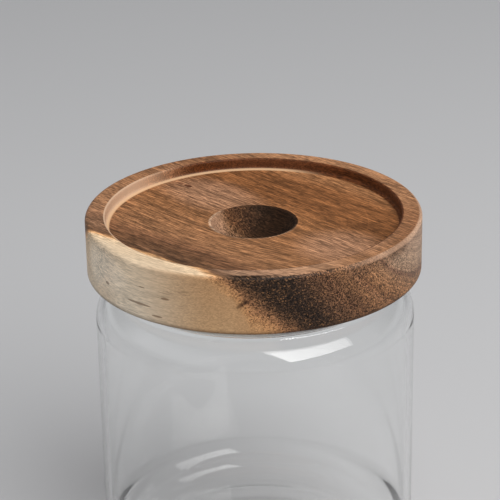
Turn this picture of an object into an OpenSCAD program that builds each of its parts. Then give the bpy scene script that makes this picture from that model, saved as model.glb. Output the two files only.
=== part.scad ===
// Round glass storage jar with a push-in wooden lid and a ribbed seal ring.
// Millimetres, +Z up. The origin is the middle of the foot, on the surface the jar stands on.

/* [Glass body] */
// Outer diameter of the straight body
jar_d = 100; // [80:1:140]
// Height of the glass, foot to rim
jar_h = 102; // [60:1:220]
// Thickness of the glass wall
wall = 2.2; // [1.8:0.1:3.4]
// Thickness of the glass in the middle of the base
base_t = 5; // [3:0.1:9]
// Radius of the rounded heel, outside
heel_r = 12; // [6:0.5:16]
// Radius of the curve from wall to floor, inside
floor_r = 10.5; // [5:0.5:16]
// Width of the flat ring that the jar stands on
foot_w = 2.5; // [1:0.1:5]
// Height of the pushed-up middle of the base
punt_h = 1.6; // [0.5:0.1:4]

/* [Shoulder and neck] */
// How far the neck is drawn in from the body
neck_inset = 6; // [4:0.5:8]
// Height of the straight neck
neck_h = 4.5; // [2:0.5:10]
// Radius of the rounded shoulder, outside
shoulder_r = 13; // [9:0.5:18]
// Radius of the hollow where shoulder turns into neck, outside
hollow_r = 2; // [1:0.1:4]
// Radius of the polished edges of the rim
rim_round = 0.8; // [0.3:0.1:1]

/* [Lid] */
// How far the lid stands out past the glass body
lid_overhang = 2; // [0:0.5:6]
// Thickness of the lid, from its underside to the top of its rim
lid_h = 18; // [14:0.5:30]
// Radius of the lid's upper outer edge
lid_top_round = 1.2; // [0.4:0.1:3]
// Radius of the lid's lower outer edge
lid_foot_round = 0.7; // [0.3:0.1:3]

/* [Tray and finger dish] */
// Width of the raised rim round the tray
rim_w = 6.2; // [4:0.1:12]
// Depth of the tray below the rim
tray_depth = 3.7; // [2:0.1:6]
// Radius of the rim's inner top edge
rim_inner_round = 0.5; // [0.2:0.1:1.5]
// Radius of the cove at the foot of the tray's wall
cove_r = 1.2; // [0.5:0.1:2]
// Diameter of the finger dish where it meets the tray
dish_d = 26; // [18:0.5:36]
// Depth of the finger dish below the tray
dish_depth = 8; // [4:0.5:9.5]
// Radius of the dish's eased edge
dish_round = 1; // [0.4:0.1:3]

/* [Plug and seal] */
// Depth of the plug below the lid's underside
plug_h = 7; // [5:0.1:15]
// Height of the bare wooden lip below the seal
plug_lip = 1.2; // [0.8:0.1:3]
// Radius of the plug's lower edge
plug_round = 0.6; // [0.2:0.1:0.7]
// Clearance between the seal's fins and the inside of the neck
seal_gap = 0.3; // [0.2:0.05:0.6]
// Number of fins on the seal
fin_count = 3; // [2:1:5]
// How far a fin reaches out from the seal's band
fin_reach = 1.6; // [0.8:0.1:3]
// Thickness of a fin at its rounded tip
fin_tip_t = 0.5; // [0.3:0.05:0.6]
// Thickness of a fin where it grows from the band
fin_root_t = 0.9; // [0.8:0.05:1]
// How far a fin sweeps up towards its tip
fin_sweep = 0.4; // [0:0.05:0.4]
// Thickness of the seal's band
band_t = 1.3; // [0.8:0.1:2.5]
// Height of the tongue that holds the seal in the plug
tongue_h = 1.8; // [1:0.1:3]
// Depth of the tongue and of its groove
tongue_depth = 1.6; // [0.8:0.1:3]

/* [Hidden] */
$fn = 160;

// Overrun of cuts past the faces they open
over = 1;

// Glass: radii outside, and heights of the arcs' centres
jar_r = jar_d / 2;
neck_r = jar_r - neck_inset;
shoulder_x = jar_r - shoulder_r;
hollow_x = neck_r + hollow_r;
hollow_z = jar_h - neck_h;
arc_reach = shoulder_r + hollow_r;
shoulder_z = hollow_z - sqrt(pow(arc_reach, 2) - pow(hollow_x - shoulder_x, 2));
floor_z = punt_h + base_t;
foot_inner_r = jar_r - heel_r - foot_w;
punt_ball_r = (pow(foot_inner_r, 2) + pow(punt_h, 2)) / (2 * punt_h);
neck_inner_r = neck_r - wall;

// Lid: radii and levels
lid_r = jar_r + lid_overhang;
lid_top = jar_h + lid_h;
tray_r = lid_r - rim_w;
tray_z = lid_top - tray_depth;
dish_r = dish_d / 2;
dish_ball_r = (pow(dish_r, 2) + pow(dish_depth, 2)) / (2 * dish_depth);
dish_ball_z = tray_z - dish_depth + dish_ball_r;
dish_edge_z = tray_z - dish_round;
dish_edge_x = sqrt(pow(dish_ball_r + dish_round, 2) - pow(dish_ball_z - dish_edge_z, 2));

// Plug and seal: radii from the neck inwards, and levels
fin_tip_r = neck_inner_r - seal_gap;
band_r = fin_tip_r - fin_reach;
plug_r = band_r - band_t;
plug_z = jar_h - plug_h;
seal_z = plug_z + plug_lip;
seal_h = plug_h - plug_lip;
tongue_z = seal_z + (seal_h - tongue_h) / 2;
fin_pitch = (seal_h - fin_root_t) / (fin_count - 1);

// A block from the axis out to radius r, from z1 up to z2, in the plane that is turned about Z
module slab(r, z1, z2) {
    translate([0, z1]) square([r, z2 - z1]);
}

// A slab whose lower outer corner is rounded
module round_foot_slab(r, z1, z2, round_r) {
    slab(r - round_r, z1, z2);
    slab(r, z1 + round_r, z2);
    translate([r - round_r, z1 + round_r]) circle(r = round_r);
}

// Half section of the glass, filled to the axis and shrunk inwards by inset.
// The shoulder's arc and the hollow's arc share a tangent, so the wall keeps one thickness.
module glass_half(inset, z_low, z_high, corner_r) {
    round_foot_slab(jar_r - inset, z_low, shoulder_z, corner_r);
    translate([shoulder_x, shoulder_z]) circle(r = shoulder_r - inset);
    difference() {
        polygon([[0, shoulder_z], [shoulder_x, shoulder_z], [hollow_x, hollow_z], [0, hollow_z]]);
        translate([hollow_x, hollow_z]) circle(r = hollow_r + inset);
    }
    slab(neck_r - inset, hollow_z, z_high);
}

// The sharp corners that polishing takes off the rim
module rim_corners() {
    difference() {
        translate([neck_inner_r, jar_h - rim_round]) square([wall, rim_round]);
        translate([neck_inner_r + rim_round, jar_h - rim_round]) circle(r = rim_round);
        translate([neck_r - rim_round, jar_h - rim_round]) circle(r = rim_round);
        translate([neck_inner_r + rim_round, jar_h - rim_round])
            square([wall - 2 * rim_round, rim_round]);
    }
}

module glass_jar() {
    color("lightcyan", 0.35)
    rotate_extrude()
    intersection() {
        slab(jar_r, 0, jar_h);
        difference() {
            glass_half(0, 0, jar_h, heel_r);
            glass_half(wall, floor_z, jar_h + over, floor_r);
            translate([0, punt_h - punt_ball_r]) circle(r = punt_ball_r);
            rim_corners();
        }
    }
}

// Half section of the turned disc, before the tray is cut
module lid_disc() {
    intersection() {
        round_foot_slab(lid_r, jar_h, lid_top, lid_foot_round);
        union() {
            slab(lid_r, jar_h, lid_top - lid_top_round);
            slab(lid_r - lid_top_round, jar_h, lid_top);
            translate([lid_r - lid_top_round, lid_top - lid_top_round]) circle(r = lid_top_round);
        }
    }
}

// What turning takes out for the tray, with its cove and the rim's eased inner edge
module tray_cut() {
    round_foot_slab(tray_r, tray_z, lid_top + over, cove_r);
    difference() {
        translate([tray_r, lid_top - rim_inner_round]) square(rim_inner_round);
        translate([tray_r + rim_inner_round, lid_top - rim_inner_round]) circle(r = rim_inner_round);
    }
}

// What turning takes out for the finger dish, with its eased edge
module dish_cut() {
    intersection() {
        slab(dish_edge_x, tray_z - dish_depth - over, tray_z);
        union() {
            translate([0, dish_ball_z]) circle(r = dish_ball_r);
            difference() {
                polygon([[dish_edge_x, dish_edge_z], [0, dish_ball_z], [dish_edge_x, dish_ball_z]]);
                translate([dish_edge_x, dish_edge_z]) circle(r = dish_round);
            }
        }
    }
}

module wooden_lid() {
    color("peru")
    rotate_extrude() {
        difference() {
            lid_disc();
            tray_cut();
            dish_cut();
        }
        difference() {
            round_foot_slab(plug_r, plug_z, jar_h, plug_round);
            translate([plug_r - tongue_depth, tongue_z]) square([tongue_depth, tongue_h]);
        }
    }
}

// Half section of one fin, swept up towards its rounded tip
module fin(z) {
    tip_x = fin_tip_r - fin_tip_t / 2;
    tip_z = z + fin_root_t / 2 + fin_sweep - fin_tip_t / 2;
    translate([tip_x, tip_z]) circle(r = fin_tip_t / 2);
    polygon([
        [band_r, z],
        [tip_x, tip_z - fin_tip_t / 2],
        [tip_x, tip_z + fin_tip_t / 2],
        [band_r, z + fin_root_t]
    ]);
}

module seal_ring() {
    color("whitesmoke", 0.6)
    rotate_extrude() {
        translate([plug_r, seal_z]) square([band_t, seal_h]);
        translate([plug_r - tongue_depth, tongue_z]) square([tongue_depth, tongue_h]);
        for (i = [0 : fin_count - 1]) fin(seal_z + i * fin_pitch);
    }
}

glass_jar();
wooden_lid();
seal_ring();
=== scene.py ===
"""Looks of the round glass storage jar with its push-in wooden lid.

Metres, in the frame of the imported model: +Z up, -Y towards the camera, origin in the middle of the foot.
The sizes of the pieces are named below in millimetres, and MM turns them into metres.
"""
import math

import bmesh
import bpy
from mathutils import Euler, Matrix, Vector, noise


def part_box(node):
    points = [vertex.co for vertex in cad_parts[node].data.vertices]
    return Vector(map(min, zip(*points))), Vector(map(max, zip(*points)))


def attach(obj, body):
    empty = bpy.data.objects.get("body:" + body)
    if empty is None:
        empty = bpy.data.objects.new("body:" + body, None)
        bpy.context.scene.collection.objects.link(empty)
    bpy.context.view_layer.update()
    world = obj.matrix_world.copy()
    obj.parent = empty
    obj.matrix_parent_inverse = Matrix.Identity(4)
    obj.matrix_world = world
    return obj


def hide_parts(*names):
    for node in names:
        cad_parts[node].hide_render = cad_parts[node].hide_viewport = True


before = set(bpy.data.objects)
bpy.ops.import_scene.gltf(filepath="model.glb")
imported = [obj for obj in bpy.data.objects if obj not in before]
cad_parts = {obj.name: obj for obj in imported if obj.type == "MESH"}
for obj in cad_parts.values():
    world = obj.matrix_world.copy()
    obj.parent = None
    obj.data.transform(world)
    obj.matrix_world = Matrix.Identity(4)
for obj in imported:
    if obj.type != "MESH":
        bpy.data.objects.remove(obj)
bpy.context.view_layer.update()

MM = 0.001
TAU = 2 * math.pi
TINY = 1e-6


def reach(node):
    """Radius, foot and top of a turned solid of the frame, to a thousandth of a millimetre."""
    low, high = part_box(node)
    return [round(length / MM, 3) for length in (high.x, low.z, high.z)]


# Sizes that the solids give
JAR_R, _, JAR_H = reach("glass_jar")
LID_R, PLUG_Z, LID_TOP = reach("wooden_lid")
FIN_TIP_R, SEAL_Z, _ = reach("seal_ring")

# Glass
WALL = 2.2
BASE_T = 5.0
HEEL_R = 12.0
FLOOR_R = 10.5
FOOT_W = 2.5
PUNT_H = 1.6
NECK_H = 4.5
SHOULDER_R = 13.0
HOLLOW_R = 2.0
RIM_ROUND = 0.8

# Lid, with its tray, dish and plug
LID_TOP_ROUND = 1.2
LID_FOOT_ROUND = 0.7
RIM_W = 6.2
TRAY_DEPTH = 3.7
RIM_INNER_ROUND = 0.5
COVE_R = 1.2
DISH_R = 13.0
DISH_DEPTH = 8.0
DISH_ROUND = 1.0
PLUG_ROUND = 0.6

# Seal
SEAL_GAP = 0.3
FIN_COUNT = 3
FIN_REACH = 1.6
FIN_TIP_T = 0.5
FIN_ROOT_T = 0.9
FIN_SWEEP = 0.4
BAND_T = 1.3
TONGUE_H = 1.8
TONGUE_DEPTH = 1.6

# Hair's breadth left between faces that rest on each other, so that no two lie in one plane
REST_GAP = 0.03

# A second ring of points this far below the lid's inner corner keeps its shading crisp
CORNER_STEP = 0.1

# Places that follow from these sizes
NECK_INNER_R = FIN_TIP_R + SEAL_GAP
NECK_R = NECK_INNER_R + WALL
TRAY_R = LID_R - RIM_W
TRAY_Z = LID_TOP - TRAY_DEPTH
BAND_R = FIN_TIP_R - FIN_REACH
PLUG_R = BAND_R - BAND_T
SEAL_H = JAR_H - SEAL_Z
TONGUE_Z = SEAL_Z + (SEAL_H - TONGUE_H) / 2

# Facets round each turned piece
JAR_SEGMENTS = 320
LID_SEGMENTS = 320
SEAL_SEGMENTS = 256

# The inside of the glass is uneven by this much. Its swells come this often per radian round it and per
# millimetre up it.
WAVER = 0.035
WAVER_PER_RADIAN = 1.6
WAVER_PER_MM = 0.035
WAVER_START = 7.0

# The log that the lid was cut from, in millimetres too. Its grain is turned from +X towards -Y, by this many
# degrees. Depth behind the sapwood grows across the grain and up, and the heartwood's edge draws in along it.
GRAIN_TURN = 47.0
DEPTH_ACROSS = 0.75
DEPTH_UP = 0.66
HEART_AT = 48.0
DRAWN_IN = 0.11
DRAWN_FROM = -2.0

# The pith lies above the lid, so that growth rings show as arcs on the end grain
PITH_ACROSS = 36.0
PITH_UP = 152.6

# The fibres swing round towards the front, more and more from here on along the grain, on one side of it
SWING_FROM = -12.0
SWING = 0.004
SWING_ACROSS = (-12, 2)

# The end grain's tones follow the rings deep in the heart. Nearer to the sapwood they slope with the grain.
DEEP_RINGS = (77, 71)
HEART_RING = 81.8
SLOPE_RING = 83.4
SLOPE_FROM = 32.0
SLOPE = 0.29
STEEP_ALONG = (33, 37)
STEEP = 2.4


class Cloud:
    """Noise in the log: how often per millimetre it changes each way, and how far it moves what it sways."""

    def __init__(self, along, across, up, start=0.0, detail=2.0, roughness=0.5, sway=0.0):
        self.steps = along, across, up
        self.start = start
        self.detail = detail
        self.roughness = roughness
        self.sway = sway


HEART_DRIFT = Cloud(0.012, 0.05, 0.05, detail=1.0, sway=2.5)
HEART_FRAY = Cloud(0.05, 0.30, 0.30, 4.0, detail=3.0, roughness=0.6, sway=4.0)
RING_DRIFT = Cloud(0.02, 0.09, 0.09, 2.0, sway=1.6)
BUTT_FRAY = Cloud(0.06, 0.55, 0.55, 8.0, detail=3.0, roughness=0.65, sway=4.0)
DISH_FRAY = Cloud(0.10, 0.80, 0.80, 21.0, detail=3.0, roughness=0.65, sway=5.0)
LATHE_GROUPS = Cloud(0.05, 0.05, 0.05, 9.0, detail=1.0)
FINE_LINES = Cloud(0.022, 0.35, 0.62, 12.0, roughness=0.55)
FINE_GROUPS = Cloud(0.035, 0.06, 0.16, 15.0, detail=1.0)

# Streaks of three widths, with how dark and how light each makes the shade
FIBRES = [
    (Cloud(0.030, 0.60, 0.60, 3.0, detail=3.0, roughness=0.7), 0.80, 1.18),
    (Cloud(0.090, 2.20, 2.20, 5.0), 0.68, 1.30),
    (Cloud(0.380, 4.20, 4.20, 7.0), 0.55, 1.45)]

# How often per millimetre other patterns change
BAND_PER_DEPTH, BAND_PER_ALONG = 0.33, 0.012
LATHE_PER_RADIUS = 1.6
LINES_PER_RING, LINES_PER_ACROSS, LINES_START = 0.85, 0.02, 3.0
CELLS_PER_ALONG, CELLS_PER_ACROSS = 0.30, 3.5

# What noise does to the shade: from this value of it to that one, a factor goes from dark to light
BAND_TONE = (0.34, 0.66, 0.80, 1.18)
LATHE_TONE = (0.35, 0.65, 0.90, 1.10)
FIBRE_NOISE = (0.40, 0.60)

# Where groups of marks fade in, how wide a line is where noise crosses its middle, and what lines add to the
# shade
LATHE_GROUPED, FINE_GROUPED = (0.42, 0.58), (0.47, 0.58)
FINE_WIDTH, FINE_SHADE = (0.004, 0.014), -0.30
LINE_WIDTH, LINE_SHADE = (0.012, 0.040), 0.40
NICK_SHADE = 0.28
RIM_GAIN = 1.12

# Tones of the side grain, as shares of the way from 20 mm before the heartwood's edge to 60 mm behind it
FACE_DEPTHS = (-20, 60)
FACE_TONES = [
    (0.000, (224, 208, 186)), (0.130, (222, 200, 172)), (0.228, (222, 193, 158)), (0.244, (204, 152, 104)),
    (0.254, (110, 79, 57)), (0.300, (103, 72, 50)), (0.345, (126, 87, 61)), (0.400, (150, 106, 73)),
    (0.560, (146, 100, 65)), (0.700, (144, 97, 61)), (0.800, (129, 83, 49)), (0.930, (137, 89, 54)),
    (1.000, (154, 107, 71))]

# Tones of the end grain, as shares of the way towards the pith: pale sapwood, a near black seam, brown heart
BUTT_RINGS = (100, 20)
BUTT_TONES = [
    (0.000, (180, 144, 106)), (0.145, (176, 137, 98)), (0.170, (178, 134, 92)), (0.190, (168, 122, 82)),
    (0.212, (132, 93, 64)), (0.230, (88, 62, 43)), (0.250, (46, 33, 24)), (0.300, (32, 23, 18)),
    (0.345, (40, 29, 22)), (0.375, (58, 41, 30)), (0.420, (78, 54, 38)), (0.450, (82, 56, 39)),
    (0.475, (88, 61, 42)), (0.515, (108, 76, 52)), (0.530, (116, 82, 58)), (0.550, (100, 69, 47)),
    (0.575, (120, 85, 58)), (0.600, (126, 91, 64)), (0.622, (130, 96, 70)), (0.634, (128, 96, 72)),
    (0.642, (108, 79, 61)), (0.652, (114, 85, 67)), (0.662, (132, 104, 83))]

# Tones of the end grain nearest to the pith, with one darker ring
CORE_FROM = (47.6, 47.2)
CORE_RINGS = (47.5, 33.0)
CORE_TONES = [
    (0.000, (134, 106, 84)), (0.120, (146, 118, 96)), (0.250, (146, 120, 98)), (0.500, (148, 121, 100)),
    (0.660, (152, 124, 103)), (0.700, (138, 111, 91)), (0.740, (152, 124, 103)), (1.000, (150, 122, 101))]

# Patches in the log: the middle of each, along, across and up, and how far it reaches each way
PALE_PATCHES = [((-26, 6, 117), (26, 14, 20)), ((34, 4, 117), (18, 16, 20))]
# Painted light: a pale patch on the lid's left side, where only the room's light reaches
LEFT_SIDE_LIT_SPOT = ((-13, -50, 112.5), (17, 7, 9))
DIM_PATCHES = [((52, -5, 119.5), (30, 8, 5.5)), ((50, 12, 119.5), (30, 7, 4))]
SMUDGE = ((51.7, 5.8, 119.0), (30, 5.5, 4.5))
KNOT = ((-37.3, 6.2, TRAY_Z), (1.8, 1.0, 3))
KNOT_TAIL, KNOT_TAIL_SHARE = ((-40.9, 6.0, TRAY_Z), (2.0, 1.0, 3)), 0.7
CRACKS = [
    ((-9.5, -51.2, 108.8), (1.2, 3.0, 0.55)), ((5.4, -51.7, 107.1), (5.5, 3.0, 0.42)),
    ((12.1, -50.5, 104.6), (2.2, 3.0, 0.36)), ((15.0, -49.8, 110.8), (1.6, 3.0, 0.40)),
    ((6.8, -51.5, 112.6), (1.4, 3.0, 0.22))]

# A small dark mark in the sapwood beside the heart, round a line that leans
MARK = ((35.7, -37.8, 112.0), (6, 2.4, 3.0))
MARK_LEAN = 0.95
MARK_WIDTH = (0.25, 1.1)

# Where tones change on the lid, each from where a tone begins to where it is full, or back to where it ends.
# Radii are from the axis, levels up from the foot, east to the right of the axis, north behind it, and depths
# behind the sapwood. END_FACING is how far a surface turns towards the grain. LEAST is what is left of a tone
# elsewhere.
END_FACING = (0.0, 0.56)
END_RADII, END_INSIDE = (TRAY_R + 0.7, LID_R - 2.5), 0.55
END_LEFT, END_LEFT_NORTH, END_LEFT_LEAST = (-38, -26), -0.5, 0.1
SIDE_DEPTHS, SIDE_LEAST = (-5, 1), 0.30

RIM_LEVELS = (LID_TOP - 0.8, LID_TOP - 0.2)
RIM_DEPTHS = (0, 3)
RIM_FRONT, RIM_FRONT_EAST = (-28, -42), (30, 12)
GAIN_LEVELS, GAIN_DEPTHS = (LID_TOP - 1.5, LID_TOP - 0.5), (-2, 0)
EDGE_RADII, EDGE_FRONT, EDGE_DEPTHS = (LID_R - 2.3, LID_R - 1.6), (-38, -44), (-1, 2)
EDGE_EAST = (-14, -8), (10, 0)

NICK_R, NICK_WIDTH, NICK_EAST = 35.5, (0.12, 0.38), (33, 35)
NICK_LEVELS = (TRAY_Z + 0.7, TRAY_Z + 0.3)
FINE_DEPTHS, FINE_RADII = (-4, -8), (LID_R - 2, LID_R - 1)
LINE_TRACES = (74, 70)

WALL_RADII = (TRAY_R - 1.2, TRAY_R - 0.8), (TRAY_R + 0.6, TRAY_R + 0.4)
WALL_LEVELS = (TRAY_Z - 0.05, TRAY_Z + 0.1)
WALL_DIM, WALL_PALE = (-32, -17), (-24, -40)
WALL_FOOT_RADII = (TRAY_R - 1.35, TRAY_R - 1.05), (TRAY_R - 0.15, TRAY_R - 0.45)
WALL_FOOT_LEVELS = (TRAY_Z - 0.2, TRAY_Z - 0.1), (TRAY_Z + 0.9, TRAY_Z + 0.6)
WALL_FOOT_EAST = (26, 8)

# A painted highlight on the rounded top edge, and painted shade along the lid's edge underneath
HIGH_RADII, HIGH_LEVELS, HIGH_EAST = (LID_R - 1.1, LID_R - 0.7), (LID_TOP - 1.5, LID_TOP - 1.0), (24, 36)
LOW_RADII, LOW_LEVELS = (LID_R - 3, LID_R - 2), (JAR_H + 1.4, JAR_H + 0.5)

# The dish, partly darker wood and partly painted light and shade. Its tones go by how far a point lies behind
# a slanting line: paler in front of it as painted light, darker behind it as painted shade, and darkest on
# the right, where the painted shade is near black. Its lip is a painted highlight, most on its left end.
LIP_R, LIP_WIDTH, LIP_LEVELS = DISH_R + 0.65, (0.15, 0.50), (TRAY_Z - 1.1, TRAY_Z - 0.5)
LIP_EAST, LIP_NORTH, LIP_NORTH_SHARE = (-9, -12), (-2, -9), 0.291
DISH_RADII, DISH_LEVELS = (LIP_R + 0.2, LIP_R), (TRAY_Z + 0.2, TRAY_Z + 0.1)
DISH_SHARE = 0.94
SLANT, SLANT_NORTH = 0.44, 3.75
DISH_REACH = (-8, 8)
DISH_TONES = [
    (0.000, (150, 112, 86)), (0.250, (138, 102, 76)), (0.400, (124, 90, 64)), (0.500, (104, 72, 48)),
    (0.620, (84, 54, 34)), (0.800, (66, 42, 26)), (1.000, (66, 42, 26))]
# Where the dish's left end is painted as lit, and where its right part is painted as shade
PALE_END_EAST, PALE_END_BEHIND = (-7.5, -11.5), (2.5, -1.0)
DARK_EAST, DARK_NORTH = (-11.5, -2), -0.45

# The cells of the end grain: where they get coarser, and the darkest that a pore gets
COARSE_RINGS, COARSE_BY_RING = (40, 54), (0.50, 1.4)
COARSE_TRACES, COARSE_BY_TRACE = (88, 79), (0.12, 1.0)
COARSE_EAST, COARSE_MORE = (-12, -7), (-0.6, 0.2)
PORE_LEAST = 0.25

# Which fibre ends shine, where, and how much
GLINT_CELLS = (0.70, 1.0)
GLINT_TRACES = (86, 81)
GLINT_RINGS, GLINT_BY_RING = (44, 70), (0.15, 0.32)
GLINT_BEHIND, GLINT_EAST, GLINT_MOST = (-2, 1), (3, -4), 2.4

# What lies over these tones, stains and marks and painted light and shade alike: how strong it is at most,
# and its colour
PATCH_STAIN = (0.60, (168, 128, 102))
RIM_STAIN = (0.28, (150, 116, 92))
RIM_FRONT_STAIN = (0.378, (190, 152, 124))
# Painted light on the lid's left side
LEFT_SIDE_PAINTED_LIGHT = (0.75, (252, 236, 214))
DIM_STAIN = (0.75, (92, 66, 48))
SMUDGE_STAIN = (0.60, (86, 60, 42))
MARK_STAIN = (0.90, (66, 42, 28))
WALL_DIM_STAIN = (0.90, (80, 38, 12))
WALL_PALE_STAIN = (0.80, (212, 178, 150))
# Lighter wood and a painted highlight along the tray wall's foot
WALL_FOOT_PALE_AND_HIGHLIGHT = (0.85, (214, 176, 138))
# Painted light and painted shade in the dish, and a painted highlight on its lip
DISH_END_PAINTED_LIGHT = (0.45, (176, 138, 112))
DISH_PAINTED_SHADE = (0.94, (22, 14, 9))
LIP_PAINTED_HIGHLIGHT = (0.55, (214, 178, 148))
KNOT_STAIN = (0.85, (66, 32, 18))
GLINT_STAIN = (1.0, (152, 108, 70))
CRACK_STAIN = (0.62, (92, 60, 34))
# A painted highlight on the top edge, and painted shade under the lid's edge
TOP_EDGE_HIGHLIGHT = (0.35, (206, 166, 138))
UNDER_EDGE_SHADE = (0.55, (60, 42, 30))

# The rest of each material. The dish is rougher than the wood round it, most of all in its part in painted
# shade.
WOOD_ROUGHNESS, DISH_ROUGHNESS, DARK_ROUGHNESS = 0.5, 0.9, 1.0
WOOD_SPECULAR = 0.15
GLASS_COLOUR = (0.995, 1.0, 0.998, 1.0)
GLASS_IOR = 1.5
SILICONE_COLOUR = (246, 247, 247)
SILICONE_ROUGHNESS = 0.38
SILICONE_IOR = 1.41
SILICONE_CLEARNESS = 0.20

# The studio, in metres. The floor pales between two distances from the jar.
FLOOR_REACH = 20.0
FLOOR_GAP = 0.0004
FLOOR_SEGMENTS = 96
FLOOR_NEAR, FLOOR_FAR = (200, 200, 202), (244, 244, 246)
FLOOR_PALES = (0.9, 3.0)
FLOOR_ROUGHNESS, FLOOR_SPECULAR = 0.55, 0.2

# The window, which is brightest at its left edge
WINDOW_AT = (0.58, -0.50, 1.25)
WINDOW_TOWARDS = (0, 0, 0.55)
WINDOW_SIZE = (1.20, 1.55)
WINDOW_POWER = 27.3
WINDOW_COLOUR = (1.0, 0.99, 0.97)
WINDOW_LEFT, WINDOW_RIGHT = 1.15, 0.55

# The room's brightness each way, where it changes along a direction of length 1, and how bright the camera
# sees it
ROOM_COLOUR = (0.96, 0.98, 1.0, 1.0)
ROOM_LEFT, ROOM_RIGHT, ROOM_SIDES = 0.85, 0.42, (-0.8, -0.1)
ROOM_BEHIND, ROOM_BACK = 0.05, (0.0, 0.5)
ROOM_LOW, ROOM_RISE = 0.50, (0.10, 0.25)
ROOM_OVERHEAD, ROOM_TOP = 0.30, (0.45, 0.85)
ROOM_SEEN = 0.37

# The camera's place in lid radii from the middle of the lid's top, its slope and roll in radians, its lens in
# millimetres, and the nearest that it sees
CAMERA_AT = (-0.0243, -11.0152, 4.4225)
CAMERA_DOWN = 0.4016
CAMERA_ROLL = -0.0179
CAMERA_LENS = 144
CAMERA_SENSOR = 36
CAMERA_NEAR = 0.01


# Turned meshes
def arc(cx, cz, radius, start, end, steps):
    """Points on an arc, with the angles in degrees."""
    points = []
    for i in range(steps + 1):
        angle = math.radians(start + (end - start) * i / steps)
        points.append((cx + radius * math.cos(angle), cz + radius * math.sin(angle)))
    return points


def line(x0, z0, x1, z1, steps):
    """Points between two ends, both left out."""
    return [(x0 + (x1 - x0) * i / steps, z0 + (z1 - z0) * i / steps) for i in range(1, steps)]


def linked(name, data):
    """A new object in the scene."""
    obj = bpy.data.objects.new(name, data)
    bpy.context.scene.collection.objects.link(obj)
    return obj


def turned(name, outline, segments, wobble=None):
    """A closed outline of (radius, height) pairs, turned about Z. An end on the axis closes to a point."""
    bm = bmesh.new()
    rings = []
    for k, (x, z) in enumerate(outline):
        if x < TINY:
            rings.append([bm.verts.new((0, 0, z * MM))])
            continue
        ring = []
        for i in range(segments):
            angle = TAU * i / segments
            r = x + (wobble(k, angle, z) if wobble else 0.0)
            ring.append(bm.verts.new((r * MM * math.cos(angle), r * MM * math.sin(angle), z * MM)))
        rings.append(ring)
    closed = len(rings[0]) > 1
    pairs = list(zip(rings, rings[1:])) + ([(rings[-1], rings[0])] if closed else [])
    for a, b in pairs:
        for i in range(segments):
            j = (i + 1) % segments
            if len(a) == 1:
                bm.faces.new((a[0], b[j], b[i]))
            elif len(b) == 1:
                bm.faces.new((a[i], a[j], b[0]))
            else:
                bm.faces.new((a[i], a[j], b[j], b[i]))
    bmesh.ops.recalc_face_normals(bm, faces=bm.faces)
    mesh = bpy.data.meshes.new(name)
    bm.to_mesh(mesh)
    bm.free()
    mesh.polygons.foreach_set("use_smooth", [True] * len(mesh.polygons))
    return linked(name, mesh)


def glass_outline():
    """The jar's half section, from the middle of its underside round to the middle of its floor."""
    shoulder_x, hollow_x = JAR_R - SHOULDER_R, NECK_R + HOLLOW_R
    hollow_z = JAR_H - NECK_H
    shoulder_z = hollow_z - math.sqrt((SHOULDER_R + HOLLOW_R) ** 2 - (hollow_x - shoulder_x) ** 2)
    turn = math.degrees(math.atan2(hollow_z - shoulder_z, hollow_x - shoulder_x))
    floor_z = PUNT_H + BASE_T
    foot_r = JAR_R - HEEL_R - FOOT_W
    ball = (foot_r ** 2 + PUNT_H ** 2) / (2 * PUNT_H)
    half = math.degrees(math.asin(foot_r / ball))
    top = JAR_H - REST_GAP
    inner = JAR_R - WALL
    points = [(0.0, PUNT_H)] + arc(0, PUNT_H - ball, ball, 90, 90 - half, 26)[1:]
    points += line(foot_r, 0, JAR_R - HEEL_R, 0, 4)
    points += arc(JAR_R - HEEL_R, HEEL_R, HEEL_R, -90, 0, 36)
    points += line(JAR_R, HEEL_R, JAR_R, shoulder_z, 24)
    points += arc(shoulder_x, shoulder_z, SHOULDER_R, 0, turn, 24)
    points += arc(hollow_x, hollow_z, HOLLOW_R, 180 + turn, 180, 10)[1:]
    points += line(NECK_R, hollow_z, NECK_R, top - RIM_ROUND, 4)
    points += arc(NECK_R - RIM_ROUND, top - RIM_ROUND, RIM_ROUND, 0, 90, 8)
    points += arc(NECK_INNER_R + RIM_ROUND, top - RIM_ROUND, RIM_ROUND, 90, 180, 8)
    points += line(NECK_INNER_R, top - RIM_ROUND, NECK_INNER_R, hollow_z, 4)
    points += arc(hollow_x, hollow_z, HOLLOW_R + WALL, 180, 180 + turn, 12)
    points += arc(shoulder_x, shoulder_z, SHOULDER_R - WALL, turn, 0, 22)[1:]
    points += line(inner, shoulder_z, inner, floor_z + FLOOR_R, 24)
    points += arc(inner - FLOOR_R, floor_z + FLOOR_R, FLOOR_R, 0, -90, 32)
    points += line(inner - FLOOR_R, floor_z, 0, floor_z, 12)
    points.append((0.0, floor_z))
    return points


def inner_waver(outline):
    """How far the glass swells at each point: nothing outside, a few hundredths of a millimetre inside."""
    below_rim = JAR_H - 2 * RIM_ROUND
    inside = next(k for k, (x, z) in enumerate(outline) if abs(x - NECK_INNER_R) < TINY and z < below_rim)

    def waver(k, angle, z):
        if k < inside:
            return 0.0
        round_x, round_y = WAVER_PER_RADIAN * math.cos(angle), WAVER_PER_RADIAN * math.sin(angle)
        return WAVER * noise.noise(Vector((round_x, round_y, z * WAVER_PER_MM + WAVER_START)))

    return waver


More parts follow.
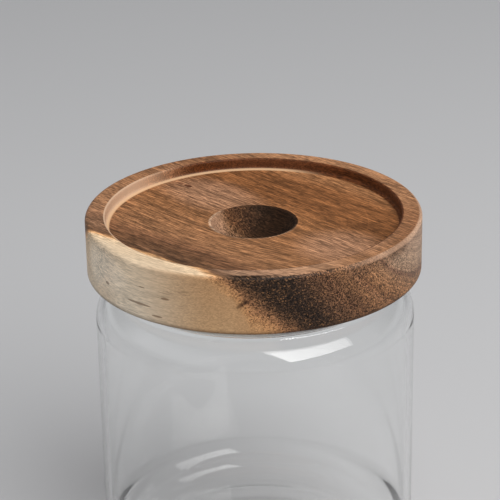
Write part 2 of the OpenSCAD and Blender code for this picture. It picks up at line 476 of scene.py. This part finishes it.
def lid_outline():
    """The lid's half section, from the middle of its dish round to the middle of its plug."""
    ball = (DISH_R ** 2 + DISH_DEPTH ** 2) / (2 * DISH_DEPTH)
    ball_z = TRAY_Z - DISH_DEPTH + ball
    edge_z = TRAY_Z - DISH_ROUND
    edge_x = math.sqrt((ball + DISH_ROUND) ** 2 - (ball_z - edge_z) ** 2)
    lean = math.degrees(math.atan2(ball_z - edge_z, edge_x))
    groove_r = PLUG_R - TONGUE_DEPTH
    groove_top = TONGUE_Z + TONGUE_H
    cove_x, cove_z = TRAY_R - COVE_R, TRAY_Z + COVE_R
    under = JAR_H
    below_corner = under - CORNER_STEP
    points = arc(0, ball_z, ball, -90, -lean, 26)
    points += arc(edge_x, edge_z, DISH_ROUND, 180 - lean, 90, 8)[1:]
    points += line(edge_x, TRAY_Z, cove_x, TRAY_Z, 26)
    points += arc(cove_x, cove_z, COVE_R, -90, 0, 8)
    points += line(TRAY_R, cove_z, TRAY_R, LID_TOP - RIM_INNER_ROUND, 4)
    points += arc(TRAY_R + RIM_INNER_ROUND, LID_TOP - RIM_INNER_ROUND, RIM_INNER_ROUND, 180, 90, 6)
    points += line(TRAY_R + RIM_INNER_ROUND, LID_TOP, LID_R - LID_TOP_ROUND, LID_TOP, 6)
    points += arc(LID_R - LID_TOP_ROUND, LID_TOP - LID_TOP_ROUND, LID_TOP_ROUND, 90, 0, 10)
    points += line(LID_R, LID_TOP - LID_TOP_ROUND, LID_R, under + LID_FOOT_ROUND, 16)
    points += arc(LID_R - LID_FOOT_ROUND, under + LID_FOOT_ROUND, LID_FOOT_ROUND, 0, -90, 6)
    points += line(LID_R - LID_FOOT_ROUND, under, PLUG_R, under, 8)
    points += [(PLUG_R, under), (PLUG_R, below_corner)]
    points += line(PLUG_R, below_corner, PLUG_R, groove_top, 3)
    points += [(PLUG_R, groove_top), (groove_r, groove_top), (groove_r, TONGUE_Z), (PLUG_R, TONGUE_Z)]
    points += line(PLUG_R, TONGUE_Z, PLUG_R, PLUG_Z + PLUG_ROUND, 4)
    points += arc(PLUG_R - PLUG_ROUND, PLUG_Z + PLUG_ROUND, PLUG_ROUND, 0, -90, 6)
    points += line(PLUG_R - PLUG_ROUND, PLUG_Z, 0, PLUG_Z, 10)
    points.append((0.0, PLUG_Z))
    return points


def seal_outline():
    """The ring's half section: fins outside, a tongue inside."""
    pitch = (SEAL_H - FIN_ROOT_T) / (FIN_COUNT - 1)
    tip_r = FIN_TIP_T / 2
    tip_x = FIN_TIP_R - tip_r
    back = PLUG_R + REST_GAP
    top = JAR_H - REST_GAP
    tongue_low, tongue_high = TONGUE_Z + REST_GAP, TONGUE_Z + TONGUE_H - REST_GAP
    points = [(back, SEAL_Z)]
    for i in range(FIN_COUNT):
        low = SEAL_Z + i * pitch
        high = min(low + FIN_ROOT_T, top)
        tip_z = min(low + FIN_ROOT_T / 2 + FIN_SWEEP - tip_r, top - tip_r)
        points.append((BAND_R, low))
        points += line(BAND_R, low, tip_x, tip_z - tip_r, 3)
        points += arc(tip_x, tip_z, tip_r, -90, 90, 10)
        points += line(tip_x, tip_z + tip_r, BAND_R, high, 3)
        points.append((BAND_R, high))
    points += [(back, top), (back, tongue_high), (back - TONGUE_DEPTH, tongue_high)]
    points += [(back - TONGUE_DEPTH, tongue_low), (back, tongue_low)]
    return points


# Ways to write shaders
class Value:
    """A number that differs over a surface. Plain sums with it add maths nodes."""

    def __init__(self, nodes, socket):
        self.nodes = nodes
        self.socket = socket

    def __add__(self, other):
        return self.nodes.math("ADD", self, other)

    def __sub__(self, other):
        return self.nodes.math("SUBTRACT", self, other)

    def __rsub__(self, other):
        return self.nodes.math("SUBTRACT", other, self)

    def __mul__(self, other):
        return self.nodes.math("MULTIPLY", self, other)

    def __truediv__(self, other):
        return self.nodes.math("DIVIDE", self, other)

    def __abs__(self):
        return self.nodes.math("ABSOLUTE", self)


class Nodes:
    """Short ways to add nodes to a material, the world or a lamp."""

    def __init__(self, owner):
        owner.use_nodes = True
        self.tree = owner.node_tree

    def add(self, kind, **settings):
        node = self.tree.nodes.new(kind)
        for key, value in settings.items():
            setattr(node, key, value)
        return node

    def put(self, socket, value):
        """Links a value or a socket to an input, or sets a plain number or colour on it."""
        if isinstance(value, Value):
            value = value.socket
        if isinstance(value, bpy.types.NodeSocket):
            self.tree.links.new(value, socket)
        elif value is not None:
            socket.default_value = value

    def math(self, operation, a, b=None):
        node = self.add("ShaderNodeMath", operation=operation)
        self.put(node.inputs[0], a)
        self.put(node.inputs[1], b)
        return Value(self, node.outputs[0])

    def most(self, first, *others):
        """The largest of several values."""
        for other in others:
            first = self.math("MAXIMUM", first, other)
        return first

    def span(self, value, low, high, to_low=0.0, to_high=1.0, smooth=False):
        """Goes from to_low to to_high while value goes from low to high, and stays there beyond them."""
        node = self.add("ShaderNodeMapRange", interpolation_type="SMOOTHSTEP" if smooth else "LINEAR")
        self.put(node.inputs["Value"], value)
        for key, v in (("From Min", low), ("From Max", high), ("To Min", to_low), ("To Max", to_high)):
            self.put(node.inputs[key], v)
        return Value(self, node.outputs[0])

    def vector(self, x, y, z):
        node = self.add("ShaderNodeCombineXYZ")
        for socket, value in zip(node.inputs, (x, y, z)):
            self.put(socket, value)
        return node.outputs[0]

    def parts(self, vector):
        node = self.add("ShaderNodeSeparateXYZ")
        self.put(node.inputs[0], vector)
        return [Value(self, socket) for socket in node.outputs]

    def noise(self, vector, detail=2.0, roughness=0.5):
        node = self.add("ShaderNodeTexNoise")
        self.put(node.inputs["Vector"], vector)
        for key, value in (("Scale", 1.0), ("Detail", detail), ("Roughness", roughness)):
            node.inputs[key].default_value = value
        return Value(self, node.outputs["Fac"])

    def ramp(self, value, stops):
        """Colours at shares of a value's way from 0 to 1."""
        node = self.add("ShaderNodeValToRGB")
        self.put(node.inputs[0], value)
        elements = node.color_ramp.elements
        while len(elements) < len(stops):
            elements.new(0.5)
        for element, (share, colour) in zip(elements, stops):
            element.position = share
            element.color = rgba(colour)
        return node.outputs["Color"]

    def blend(self, amount, a, b, mode="MIX"):
        node = self.add("ShaderNodeMix", data_type="RGBA", blend_type=mode)
        self.put(node.inputs[0], amount)
        self.put(node.inputs[6], a)
        self.put(node.inputs[7], b)
        return node.outputs[2]


def rgba(colour):
    """sRGB from 0 to 255 as linear light, opaque."""
    light = [c / 255 / 12.92 if c / 255 <= 0.04045 else ((c / 255 + 0.055) / 1.055) ** 2.4 for c in colour]
    return (*light, 1.0)


# Materials
class Wood(Nodes):
    """The lid's wood, with the places and measures in the log that its tones follow, in millimetres."""

    def __init__(self, material):
        super().__init__(material)
        self.read_places()
        self.read_log()
        self.read_lid()

    def read_places(self):
        """Where a point lies: along the grain, across it and up, east and north, and from the axis."""
        where = self.add("ShaderNodeTexCoord")
        turn = self.add("ShaderNodeMapping", vector_type="POINT")
        turn.inputs["Rotation"].default_value = (0, 0, math.radians(GRAIN_TURN))
        turn.inputs["Scale"].default_value = (1 / MM, 1 / MM, 1 / MM)
        self.put(turn.inputs["Vector"], where.outputs["Object"])
        self.along, self.across, self.up = self.parts(turn.outputs[0])
        self.east, self.north = (length * (1 / MM) for length in self.parts(where.outputs["Object"])[:2])
        self.radius = self.math("SQRT", self.along * self.along + self.across * self.across)
        self.normal = where.outputs["Normal"]
        swing = self.most(self.along - SWING_FROM, 0.0)
        swing = swing * swing * SWING * self.span(self.across, *SWING_ACROSS, 1.0, 0.0, smooth=True)
        self.lie = self.across - swing

    def read_log(self):
        """Depth behind the sapwood, distance from the pith, and the trace that end grain's tones go by."""
        depth = self.across * DEPTH_ACROSS - HEART_AT + self.up * DEPTH_UP
        depth = depth + self.most(DRAWN_FROM - self.along, 0.0) * DRAWN_IN
        self.depth = depth + self.sway(HEART_DRIFT) + self.sway(HEART_FRAY)
        off_across = self.across - PITH_ACROSS
        off_up = self.up - PITH_UP
        ring = self.math("SQRT", off_up * off_up + off_across * off_across)
        self.ring = ring + self.sway(RING_DRIFT)
        trace = (self.along - SLOPE_FROM) * SLOPE + (self.ring - SLOPE_RING)
        trace = trace * self.span(self.along, *STEEP_ALONG, STEEP, 1.0) + (self.sway(BUTT_FRAY) + HEART_RING)
        self.trace = trace + (self.ring - trace) * self.span(self.ring, *DEEP_RINGS)

    def read_lid(self):
        """Parts of the lid, each from 0 to 1: end grain, rim's top, tray's wall, dish and the dish's part in
        painted shade.

        And how far a point lies behind the slanting line that the dish's tones go by.
        """
        facing = self.add("ShaderNodeVectorMath", operation="DOT_PRODUCT")
        self.put(facing.inputs[0], self.normal)
        turned_by = math.radians(GRAIN_TURN)
        facing.inputs[1].default_value = (math.cos(turned_by), -math.sin(turned_by), 0)
        end = self.span(abs(Value(self, facing.outputs["Value"])), *END_FACING, smooth=True)
        end = end * self.span(self.radius, *END_RADII, END_INSIDE, 1.0)
        end = end * self.span(self.east + self.north * END_LEFT_NORTH, *END_LEFT, END_LEFT_LEAST, 1.0)
        self.rim_top = self.span(self.up, *RIM_LEVELS)
        # The front edge shows its end grain right up to the rim
        edge = self.span(self.radius, *EDGE_RADII) * self.rim_top * self.span(self.north, *EDGE_FRONT)
        edge = edge * self.between(self.east, *EDGE_EAST) * self.span(self.depth, *EDGE_DEPTHS)
        self.end = self.most(end, edge)
        self.on_wall = self.between(self.radius, *WALL_RADII) * self.span(self.up, *WALL_LEVELS)
        self.in_dish = self.span(self.radius, *DISH_RADII) * self.span(self.up, *DISH_LEVELS)
        self.behind = self.east * SLANT + (self.north - SLANT_NORTH) + self.sway(DISH_FRAY)
        # Where the dish's right part is painted as shade
        self.in_dish_shade = self.in_dish * self.span(self.east + self.north * DARK_NORTH, *DARK_EAST)

    def cloud(self, cloud):
        """Noise from 0 to 1 that lies with the fibres."""
        along, across, up = cloud.steps
        place = self.vector(self.along * along + cloud.start, self.lie * across, self.up * up)
        return self.noise(place, cloud.detail, cloud.roughness)

    def sway(self, cloud):
        """Millimetres to either side, by a cloud."""
        return (self.cloud(cloud) - 0.5) * cloud.sway

    def between(self, value, rise, fall):
        """1 between two places, fading to 0 outside them."""
        return self.span(value, *rise) * self.span(value, *fall)

    def spot(self, place, reach, soft=True):
        """1 in the middle of a patch of the log, fading to 0 at its edge."""
        far = 0.0
        for value, at, wide in zip((self.along, self.across, self.up), place, reach):
            step = (value - at) / wide
            far = step * step + far
        return self.span(far, 0.0 if soft else 0.5, 1.0, 1.0, 0.0, smooth=True)

    def tone(self, value, low, high, dark, light, strength):
        """A factor about 1 from a noise value: strength scales how far it swings from dark to light."""
        return self.span(value, low, high, dark - 1, light - 1) * strength + 1.0

    def stain_or_painted_light(self, base, where, strength, colour):
        """The base colour, with another one over it where a value says: a stain or mark, or painted light or
        shade.
        """
        return self.blend(where * strength, base, rgba(colour))


def face_colour(wood):
    """Side grain: pale sapwood, a dark seam at the heartwood's edge, and paler patches and rim, with painted
    light on the lid's left side.
    """
    face = wood.ramp(wood.span(wood.depth, *FACE_DEPTHS), FACE_TONES)
    pale = wood.most(*(wood.spot(*patch) for patch in PALE_PATCHES))
    face = wood.stain_or_painted_light(face, pale, *PATCH_STAIN)
    on_rim = wood.rim_top * wood.span(wood.depth, *RIM_DEPTHS)
    face = wood.stain_or_painted_light(face, on_rim, *RIM_STAIN)
    in_front = wood.span(wood.north, *RIM_FRONT) * wood.span(wood.east, *RIM_FRONT_EAST)
    face = wood.stain_or_painted_light(face, on_rim * in_front, *RIM_FRONT_STAIN)
    # Painted light on the lid's left side, where only the room's light reaches
    return wood.stain_or_painted_light(face, wood.spot(*LEFT_SIDE_LIT_SPOT), *LEFT_SIDE_PAINTED_LIGHT)


def butt_colour(wood):
    """End grain: tones by ring, dimmer patches under the rim, and the mark beside the heart."""
    outer = wood.ramp(wood.span(wood.trace, *BUTT_RINGS), BUTT_TONES)
    core = wood.ramp(wood.span(wood.ring, *CORE_RINGS), CORE_TONES)
    butt = wood.blend(wood.span(wood.ring, *CORE_FROM), outer, core)
    dim = wood.most(*(wood.spot(*patch) for patch in DIM_PATCHES))
    butt = wood.stain_or_painted_light(butt, dim, *DIM_STAIN)
    butt = wood.stain_or_painted_light(butt, wood.spot(*SMUDGE), *SMUDGE_STAIN)
    _, mark_across, mark_up = MARK[0]
    off_line = abs(wood.up - ((wood.across - mark_across) * MARK_LEAN + mark_up))
    mark = wood.span(off_line, *MARK_WIDTH, 1.0, 0.0) * wood.spot(*MARK)
    return wood.stain_or_painted_light(butt, mark, *MARK_STAIN)


def fibre_shade(wood, side_on):
    """Bands and streaks of the side grain, as a factor about 1 that rises a little on the rim."""
    place = wood.vector(wood.depth * BAND_PER_DEPTH, wood.along * BAND_PER_ALONG, 0.0)
    shade = wood.tone(wood.noise(place, detail=3.0, roughness=0.6), *BAND_TONE, side_on)
    for cloud, dark, light in FIBRES:
        shade = shade * wood.tone(wood.cloud(cloud), *FIBRE_NOISE, dark, light, side_on)
    gain = wood.span(wood.depth, *GAIN_DEPTHS, 1.0, RIM_GAIN)
    return shade * wood.span(wood.up, *GAIN_LEVELS, 1.0, gain)


def turning_shade(wood, shade, side_on):
    """Faint turning marks, and one that the tool left at the right of the tray."""
    lathe = wood.noise(wood.vector(wood.radius * LATHE_PER_RADIUS, 0.0, 0.0))
    grouped = wood.span(wood.cloud(LATHE_GROUPS), *LATHE_GROUPED)
    shade = shade * wood.tone(lathe, *LATHE_TONE, grouped * side_on)
    nick = wood.span(abs(wood.radius - NICK_R), *NICK_WIDTH, 1.0, 0.0)
    nick = nick * wood.span(wood.east, *NICK_EAST) * wood.span(wood.up, *NICK_LEVELS)
    return shade + nick * shade * NICK_SHADE


def sapwood_lines(wood):
    """Thin dark lines in the sapwood's side, in groups, as a factor."""
    off_line = abs(wood.cloud(FINE_LINES) - 0.5)
    grouped = wood.span(wood.cloud(FINE_GROUPS), *FINE_GROUPED)
    fine = wood.span(off_line, *FINE_WIDTH, 1.0, 0.0) * grouped * wood.span(wood.depth, *FINE_DEPTHS)
    return fine * wood.span(wood.radius, *FINE_RADII) * FINE_SHADE + 1.0


def ring_lines(wood):
    """Thin pale lines where rings meet the end grain, as a factor."""
    place = wood.vector(wood.ring * LINES_PER_RING, wood.across * LINES_PER_ACROSS, LINES_START)
    off_line = abs(wood.noise(place, detail=1.0) - 0.5)
    pale = wood.span(off_line, *LINE_WIDTH, 1.0, 0.0)
    return pale * wood.end * wood.span(wood.trace, *LINE_TRACES) * LINE_SHADE + 1.0


def dish_colour(wood, base):
    """The dish, over darker wood: painted light at its left end, painted shade near black towards the right,
    and a pale lip painted as a highlight.
    """
    bowl = wood.ramp(wood.span(wood.behind, *DISH_REACH), DISH_TONES)
    # Painted light on the dish's left end
    lit_dish_end = wood.span(wood.east, *PALE_END_EAST) * wood.span(wood.behind, *PALE_END_BEHIND)
    bowl = wood.stain_or_painted_light(bowl, lit_dish_end, *DISH_END_PAINTED_LIGHT)
    # Painted shade, near black, on the dish's right part
    bowl = wood.stain_or_painted_light(bowl, wood.in_dish_shade, *DISH_PAINTED_SHADE)
    base = wood.blend(wood.in_dish * DISH_SHARE, base, bowl)
    # A painted highlight along the dish's lip, most on its left end
    lip = wood.span(abs(wood.radius - LIP_R), *LIP_WIDTH, 1.0, 0.0) * wood.span(wood.up, *LIP_LEVELS)
    lit_lip = wood.most(wood.span(wood.east, *LIP_EAST), wood.span(wood.north, *LIP_NORTH) * LIP_NORTH_SHARE)
    return wood.stain_or_painted_light(base, lip * lit_lip, *LIP_PAINTED_HIGHLIGHT)


def end_cells(wood):
    """The end grain's fine cells: a factor for dark pores, and an amount for bright fibre ends."""
    cells = wood.add("ShaderNodeTexVoronoi", voronoi_dimensions="3D", feature="F1")
    cells.inputs["Scale"].default_value = 1.0
    across, up = wood.across * CELLS_PER_ACROSS, wood.up * CELLS_PER_ACROSS
    wood.put(cells.inputs["Vector"], wood.vector(wood.along * CELLS_PER_ALONG, across, up))
    first, second, _ = wood.parts(cells.outputs["Color"])
    coarse = wood.span(wood.ring, *COARSE_RINGS, *COARSE_BY_RING)
    coarse = coarse * wood.span(wood.trace, *COARSE_TRACES, *COARSE_BY_TRACE)
    coarse = coarse * (wood.in_dish * wood.span(wood.east, *COARSE_EAST, *COARSE_MORE) + 1.0)
    pores = wood.most(wood.span(first, 0.0, 1.0, -1.0, 1.0) * (wood.end * coarse) + 1.0, PORE_LEAST)
    glint = wood.span(second, *GLINT_CELLS) * wood.end * wood.span(wood.trace, *GLINT_TRACES)
    glint = glint * wood.span(wood.ring, *GLINT_RINGS, *GLINT_BY_RING)
    in_bowl = wood.span(wood.behind, *GLINT_BEHIND) * wood.span(wood.east, *GLINT_EAST) * GLINT_MOST
    return pores, glint * (wood.in_dish * (in_bowl - 1.0) + 1.0)


def edge_highlight_and_shade(wood, base):
    """The lid's outer edges: a painted highlight on the rounded top edge on the right, and painted shade
    along the edge underneath.
    """
    # Painted highlight on the rounded top edge, on the right
    high = wood.span(wood.radius, *HIGH_RADII) * wood.span(wood.up, *HIGH_LEVELS)
    base = wood.stain_or_painted_light(base, high * wood.span(wood.east, *HIGH_EAST), *TOP_EDGE_HIGHLIGHT)
    # Painted shade along the edge underneath
    low = wood.span(wood.radius, *LOW_RADII) * wood.span(wood.up, *LOW_LEVELS)
    return wood.stain_or_painted_light(base, low, *UNDER_EDGE_SHADE)


def pale_wall(wood, base):
    """The tray's wall is pale on the left, and a pale line runs along its foot, partly lighter wood and
    partly a painted highlight where the cove catches the light.
    """
    wall = wood.on_wall * wood.span(wood.east, *WALL_PALE, smooth=True)
    base = wood.stain_or_painted_light(base, wall, *WALL_PALE_STAIN)
    # Partly lighter wood and partly a painted highlight along the cove at the wall's foot
    foot = wood.between(wood.radius, *WALL_FOOT_RADII) * wood.between(wood.up, *WALL_FOOT_LEVELS)
    foot = foot * wood.span(wood.east, *WALL_FOOT_EAST, smooth=True)
    return wood.stain_or_painted_light(base, foot, *WALL_FOOT_PALE_AND_HIGHLIGHT)


def wood_material():
    material = bpy.data.materials.new("oiled_wood")
    wood = Wood(material)
    base = wood.blend(wood.end, face_colour(wood), butt_colour(wood))
    base = wood.stain_or_painted_light(base, wood.on_wall * wood.span(wood.east, *WALL_DIM, smooth=True), *WALL_DIM_STAIN)
    base = dish_colour(wood, base)
    knot = wood.most(wood.spot(*KNOT, soft=False), wood.spot(*KNOT_TAIL) * KNOT_TAIL_SHARE)
    base = wood.stain_or_painted_light(base, knot, *KNOT_STAIN)
    pores, glint = end_cells(wood)
    base = wood.stain_or_painted_light(base, glint, *GLINT_STAIN)

    # Sapwood is even, heartwood streaky
    side_on = (1.0 - wood.end) * wood.span(wood.depth, *SIDE_DEPTHS, SIDE_LEAST, 1.0)
    shade = turning_shade(wood, fibre_shade(wood, side_on), side_on)
    shade = shade * sapwood_lines(wood) * pores * ring_lines(wood)
    base = wood.blend(1.0, base, shade, "MULTIPLY")

    cracks = wood.most(*(wood.spot(*crack, soft=False) for crack in CRACKS))
    base = wood.stain_or_painted_light(base, cracks, *CRACK_STAIN)
    base = edge_highlight_and_shade(wood, base)
    base = pale_wall(wood, base)
    inputs = wood.tree.nodes["Principled BSDF"].inputs
    wood.put(inputs["Base Color"], base)
    in_dish = wood.in_dish * (DISH_ROUGHNESS - WOOD_ROUGHNESS)
    in_dish_shade = wood.in_dish_shade * (DARK_ROUGHNESS - WOOD_ROUGHNESS)
    wood.put(inputs["Roughness"], wood.most(in_dish, in_dish_shade) + WOOD_ROUGHNESS)
    inputs["Specular IOR Level"].default_value = WOOD_SPECULAR
    return material


def clear_material(name, colour, roughness, ior, clearness):
    """A clear or milky material that is the same all over."""
    material = bpy.data.materials.new(name)
    inputs = Nodes(material).tree.nodes["Principled BSDF"].inputs
    inputs["Base Color"].default_value = colour
    inputs["Roughness"].default_value = roughness
    inputs["IOR"].default_value = ior
    inputs["Transmission Weight"].default_value = clearness
    return material


# Pieces
outline = glass_outline()
jar = turned("jar_glass", outline, JAR_SEGMENTS, inner_waver(outline))
jar.data.materials.append(clear_material("clear_glass", GLASS_COLOUR, 0.0, GLASS_IOR, 1.0))
jar.visible_shadow = False
jar.visible_diffuse = False
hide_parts("glass_jar")
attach(jar, "jar")

lid = turned("lid_wood", lid_outline(), LID_SEGMENTS)
lid.data.materials.append(wood_material())
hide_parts("wooden_lid")
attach(lid, "lid")

seal = turned("seal_silicone", seal_outline(), SEAL_SEGMENTS)
seal.data.materials.append(clear_material("clear_silicone", rgba(SILICONE_COLOUR), SILICONE_ROUGHNESS,
                                          SILICONE_IOR, SILICONE_CLEARNESS))
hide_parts("seal_ring")
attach(seal, "lid")


# Studio
def floor_material():
    """It pales far from the jar, where less light reaches it, so that a low view has an even background."""
    material = bpy.data.materials.new("pale_floor")
    nodes = Nodes(material)
    away = nodes.add("ShaderNodeVectorMath", operation="LENGTH")
    nodes.put(away.inputs[0], nodes.add("ShaderNodeNewGeometry").outputs["Position"])
    paling = nodes.span(away.outputs["Value"], *FLOOR_PALES, smooth=True)
    inputs = nodes.tree.nodes["Principled BSDF"].inputs
    nodes.put(inputs["Base Color"], nodes.blend(paling, rgba(FLOOR_NEAR), rgba(FLOOR_FAR)))
    inputs["Roughness"].default_value = FLOOR_ROUGHNESS
    inputs["Specular IOR Level"].default_value = FLOOR_SPECULAR
    return material


def make_floor():
    mesh = bpy.data.meshes.new("floor")
    bm = bmesh.new()
    bmesh.ops.create_circle(bm, cap_ends=True, segments=FLOOR_SEGMENTS, radius=FLOOR_REACH)
    bm.to_mesh(mesh)
    bm.free()
    mesh.materials.append(floor_material())
    obj = linked("floor", mesh)
    obj.location = (0, 0, -FLOOR_GAP)
    return obj


def light_room():
    """A room that is pale on the left, dim overhead and dark behind."""
    world = bpy.data.worlds.new("room")
    bpy.context.scene.world = world
    nodes = Nodes(world)
    x, y, z = nodes.parts(nodes.add("ShaderNodeTexCoord").outputs["Generated"])
    sides = nodes.span(x, *ROOM_SIDES, ROOM_LEFT, ROOM_RIGHT, smooth=True)
    back = nodes.span(y, *ROOM_BACK, sides, ROOM_BEHIND, smooth=True)
    walls = nodes.span(z, *ROOM_RISE, ROOM_LOW, back, smooth=True)
    room = nodes.span(z, *ROOM_TOP, walls, ROOM_OVERHEAD, smooth=True)
    seen = nodes.add("ShaderNodeLightPath").outputs["Is Camera Ray"]
    background = nodes.tree.nodes["Background"].inputs
    nodes.put(background["Strength"], nodes.span(seen, 0.0, 1.0, room, ROOM_SEEN, smooth=True))
    background["Color"].default_value = ROOM_COLOUR


def light_window():
    """One tall window at the front right."""
    data = bpy.data.lights.new("window", "AREA")
    data.shape = "RECTANGLE"
    data.size, data.size_y = WINDOW_SIZE
    data.energy = WINDOW_POWER
    data.color = WINDOW_COLOUR
    nodes = Nodes(data)
    across, _, _ = nodes.parts(nodes.add("ShaderNodeNewGeometry").outputs["Parametric"])
    strength = nodes.tree.nodes["Emission"].inputs["Strength"]
    nodes.put(strength, nodes.span(across, 0.0, 1.0, WINDOW_LEFT, WINDOW_RIGHT))
    window = linked("window", data)
    window.location = WINDOW_AT
    way = Vector(WINDOW_TOWARDS) - Vector(WINDOW_AT)
    window.rotation_euler = way.to_track_quat("-Z", "Y").to_euler()


def place_camera():
    data = bpy.data.cameras.new("camera")
    data.lens = CAMERA_LENS
    data.sensor_width = CAMERA_SENSOR
    data.clip_start = CAMERA_NEAR
    camera = linked("camera", data)
    place = [radii * LID_R * MM for radii in CAMERA_AT]
    place[2] += LID_TOP * MM
    slope = Euler((math.pi / 2 - CAMERA_DOWN, 0, 0)).to_matrix().to_4x4()
    camera.matrix_world = Matrix.Translation(place) @ slope @ Matrix.Rotation(CAMERA_ROLL, 4, "Z")
    bpy.context.scene.camera = camera


floor = make_floor()
light_room()
light_window()
place_camera()
bpy.context.scene.view_settings.view_transform = "Standard"
